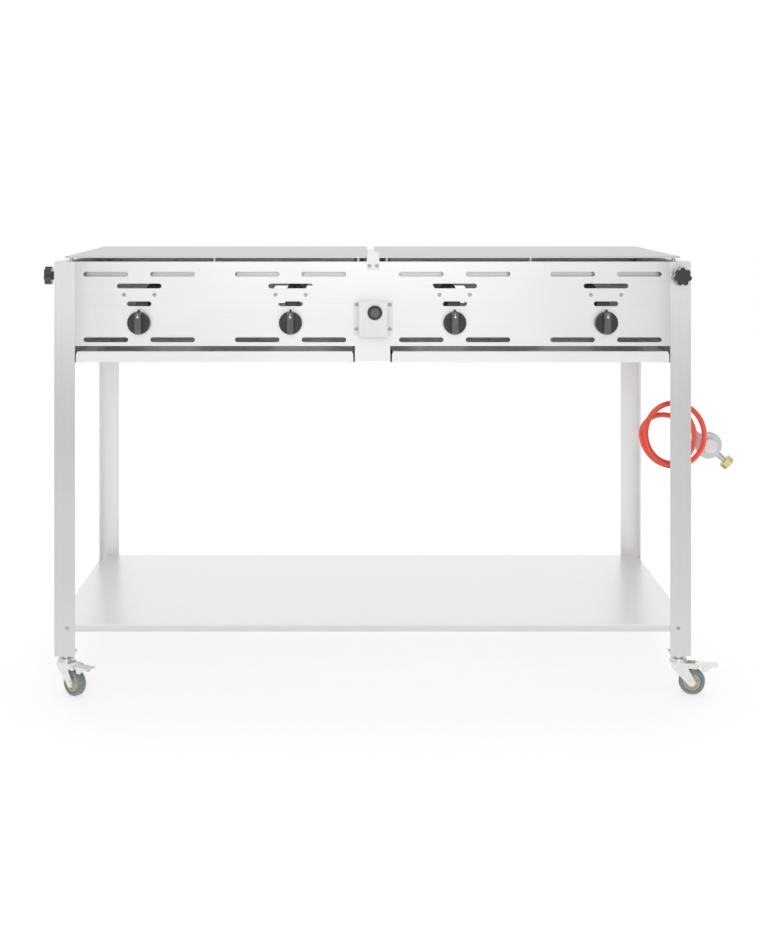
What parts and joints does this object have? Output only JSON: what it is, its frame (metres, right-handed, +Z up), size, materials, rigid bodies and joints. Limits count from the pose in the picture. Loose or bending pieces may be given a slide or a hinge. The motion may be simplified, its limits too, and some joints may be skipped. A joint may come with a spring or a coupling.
{
  "type": "gas griddle trolley",
  "caption": "Stainless gas griddle on an angle-leg trolley, with lift-off plates, pull-out drip trays, push-and-turn knobs, a shelf, braked castors and a coiled gas hose.",
  "frame": {"origin": "on the floor, under the middle of the four legs", "axes": "+X to the right seen from the knobs, +Y to the back, +Z up"},
  "size_m": [1.3918, 0.6439, 0.858],
  "materials": {
    "satin_steel": "satin",
    "plate_steel": "satin",
    "inner_steel": "matte",
    "screw_steel": "gloss",
    "brass": "satin",
    "ceramic": "matte",
    "black_plastic": "satin",
    "zinc": "satin",
    "grey_tyre": "matte",
    "red_hose": "gloss",
    "regulator_metal": "satin",
    "white_plastic": "gloss"
  },
  "bodies": {
    "frame": {"front_left_leg": "satin_steel", "front_right_leg": "satin_steel", "rear_left_leg": "satin_steel", "rear_right_leg": "satin_steel", "front_panel": "satin_steel", "back_panel": "satin_steel", "left_side_panel": "satin_steel", "right_side_panel": "satin_steel", "centre_divider": "satin_steel", "tray_runners": "satin_steel", "bottom_shelf": "satin_steel", "burner_tubes": "inner_steel", "burner_brackets": "inner_steel", "gas_manifold": "inner_steel", "gas_valves": "brass", "gas_inlet": "brass", "ignition_electrodes": "ceramic", "igniter_bracket": "satin_steel", "igniter_body": "black_plastic", "centre_clip": "satin_steel", "pan_head_screws": "screw_steel", "knob_nuts": "screw_steel", "castor_stems": "screw_steel", "hose_drop": "red_hose", "hose_coil": "red_hose", "hose_tail": "red_hose", "hose_tie": "black_plastic", "hose_clamps": "brass", "regulator_body": "regulator_metal", "regulator_cap": "white_plastic"},
    "plate_left": {"griddle_plate_left": "plate_steel"},
    "tray_left": {"drip_tray_left": "satin_steel"},
    "plate_right": {"griddle_plate_right": "plate_steel"},
    "tray_right": {"drip_tray_right": "satin_steel"},
    "stem_1": {"valve_stem_1": "brass"},
    "knob_1": {"burner_knob_1": "black_plastic"},
    "stem_2": {"valve_stem_2": "brass"},
    "knob_2": {"burner_knob_2": "black_plastic"},
    "stem_3": {"valve_stem_3": "brass"},
    "knob_3": {"burner_knob_3": "black_plastic"},
    "stem_4": {"valve_stem_4": "brass"},
    "knob_4": {"burner_knob_4": "black_plastic"},
    "igniter": {"igniter_button": "black_plastic"},
    "star_front_left": {"star_knob_front_left": "black_plastic"},
    "star_front_right": {"star_knob_front_right": "black_plastic"},
    "star_rear_left": {"star_knob_rear_left": "black_plastic"},
    "star_rear_right": {"star_knob_rear_right": "black_plastic"},
    "fork_front_left": {"castor_fork_front_left": "zinc"},
    "wheel_front_left": {"castor_wheel_front_left": "grey_tyre"},
    "pedal_front_left": {"castor_pedal_front_left": "zinc"},
    "fork_front_right": {"castor_fork_front_right": "zinc"},
    "wheel_front_right": {"castor_wheel_front_right": "grey_tyre"},
    "pedal_front_right": {"castor_pedal_front_right": "zinc"},
    "fork_rear_left": {"castor_fork_rear_left": "zinc"},
    "wheel_rear_left": {"castor_wheel_rear_left": "grey_tyre"},
    "pedal_rear_left": {"castor_pedal_rear_left": "zinc"},
    "fork_rear_right": {"castor_fork_rear_right": "zinc"},
    "wheel_rear_right": {"castor_wheel_rear_right": "grey_tyre"},
    "pedal_rear_right": {"castor_pedal_rear_right": "zinc"},
    "union_nut": {"regulator_nut": "brass"}
  },
  "joints": [
    {"name": "plate_left_lift", "type": "slide", "parent": "frame", "child": "plate_left", "axis": [0, 0, 1], "range_m": [0, 0.12]},
    {"name": "tray_left_slide", "type": "slide", "parent": "frame", "child": "tray_left", "axis": [0, -1, 0], "range_m": [0, 0.45]},
    {"name": "plate_right_lift", "type": "slide", "parent": "frame", "child": "plate_right", "axis": [0, 0, 1], "range_m": [0, 0.12]},
    {"name": "tray_right_slide", "type": "slide", "parent": "frame", "child": "tray_right", "axis": [0, -1, 0], "range_m": [0, 0.45]},
    {"name": "knob_1_turn", "type": "hinge", "parent": "frame", "child": "stem_1", "pos_m": [-0.451, -0.287, 0.72], "axis": [0, -1, 0], "range_deg": [0, 180]},
    {"name": "knob_1_push", "type": "slide", "parent": "stem_1", "child": "knob_1", "axis": [0, 1, 0], "range_m": [0, 0.003], "stiffness_N_per_m": 1000, "springref_m": -0.002},
    {"name": "knob_2_turn", "type": "hinge", "parent": "frame", "child": "stem_2", "pos_m": [-0.1585, -0.287, 0.72], "axis": [0, -1, 0], "range_deg": [0, 180]},
    {"name": "knob_2_push", "type": "slide", "parent": "stem_2", "child": "knob_2", "axis": [0, 1, 0], "range_m": [0, 0.003], "stiffness_N_per_m": 1000, "springref_m": -0.002},
    {"name": "knob_3_turn", "type": "hinge", "parent": "frame", "child": "stem_3", "pos_m": [0.1585, -0.287, 0.72], "axis": [0, -1, 0], "range_deg": [0, 180]},
    {"name": "knob_3_push", "type": "slide", "parent": "stem_3", "child": "knob_3", "axis": [0, 1, 0], "range_m": [0, 0.003], "stiffness_N_per_m": 1000, "springref_m": -0.002},
    {"name": "knob_4_turn", "type": "hinge", "parent": "frame", "child": "stem_4", "pos_m": [0.451, -0.287, 0.72], "axis": [0, -1, 0], "range_deg": [0, 180]},
    {"name": "knob_4_push", "type": "slide", "parent": "stem_4", "child": "knob_4", "axis": [0, 1, 0], "range_m": [0, 0.003], "stiffness_N_per_m": 1000, "springref_m": -0.002},
    {"name": "igniter_push", "type": "slide", "parent": "frame", "child": "igniter", "axis": [0, 1, 0], "range_m": [0, 0.004], "stiffness_N_per_m": 1200, "springref_m": -0.002},
    {"name": "star_front_left_turn", "type": "hinge", "parent": "frame", "child": "star_front_left", "pos_m": [-0.615, -0.265, 0.81], "axis": [-1, 0, 0], "continuous": true},
    {"name": "star_front_right_turn", "type": "hinge", "parent": "frame", "child": "star_front_right", "pos_m": [0.595, -0.285, 0.81], "axis": [0, -1, 0], "continuous": true},
    {"name": "star_rear_left_turn", "type": "hinge", "parent": "frame", "child": "star_rear_left", "pos_m": [-0.595, 0.285, 0.81], "axis": [0, 1, 0], "continuous": true},
    {"name": "star_rear_right_turn", "type": "hinge", "parent": "frame", "child": "star_rear_right", "pos_m": [0.615, 0.265, 0.81], "axis": [1, 0, 0], "continuous": true},
    {"name": "swivel_front_left", "type": "hinge", "parent": "frame", "child": "fork_front_left", "pos_m": [-0.595, -0.265, 0.066], "axis": [0, 0, 1], "continuous": true},
    {"name": "roll_front_left", "type": "hinge", "parent": "fork_front_left", "child": "wheel_front_left", "pos_m": [-0.57585, -0.28107, 0.025], "axis": [0.6428, 0.766, 0], "continuous": true},
    {"name": "brake_front_left", "type": "hinge", "parent": "fork_front_left", "child": "pedal_front_left", "pos_m": [-0.56972, -0.28621, 0.056], "axis": [0.6428, 0.766, 0], "range_deg": [0, 12]},
    {"name": "swivel_front_right", "type": "hinge", "parent": "frame", "child": "fork_front_right", "pos_m": [0.595, -0.265, 0.066], "axis": [0, 0, 1], "continuous": true},
    {"name": "roll_front_right", "type": "hinge", "parent": "fork_front_right", "child": "wheel_front_right", "pos_m": [0.61903, -0.27189, 0.025], "axis": [0.2756, 0.9613, 0], "continuous": true},
    {"name": "brake_front_right", "type": "hinge", "parent": "fork_front_right", "child": "pedal_front_right", "pos_m": [0.62672, -0.2741, 0.056], "axis": [0.2756, 0.9613, 0], "range_deg": [0, 12]},
    {"name": "swivel_rear_left", "type": "hinge", "parent": "frame", "child": "fork_rear_left", "pos_m": [-0.595, 0.265, 0.066], "axis": [0, 0, 1], "continuous": true},
    {"name": "roll_rear_left", "type": "hinge", "parent": "fork_rear_left", "child": "wheel_rear_left", "pos_m": [-0.61903, 0.27189, 0.025], "axis": [-0.2756, -0.9613, 0], "continuous": true},
    {"name": "brake_rear_left", "type": "hinge", "parent": "fork_rear_left", "child": "pedal_rear_left", "pos_m": [-0.62672, 0.2741, 0.056], "axis": [-0.2756, -0.9613, 0], "range_deg": [0, 12]},
    {"name": "swivel_rear_right", "type": "hinge", "parent": "frame", "child": "fork_rear_right", "pos_m": [0.595, 0.265, 0.066], "axis": [0, 0, 1], "continuous": true},
    {"name": "roll_rear_right", "type": "hinge", "parent": "fork_rear_right", "child": "wheel_rear_right", "pos_m": [0.57585, 0.28107, 0.025], "axis": [-0.6428, -0.766, 0], "continuous": true},
    {"name": "brake_rear_right", "type": "hinge", "parent": "fork_rear_right", "child": "pedal_rear_right", "pos_m": [0.56972, 0.28621, 0.056], "axis": [-0.6428, -0.766, 0], "range_deg": [0, 12]},
    {"name": "union_nut_turn", "type": "hinge", "parent": "frame", "child": "union_nut", "pos_m": [0.70857, -0.178, 0.4319], "axis": [0.7314, 0, -0.682], "continuous": true}
  ]
}
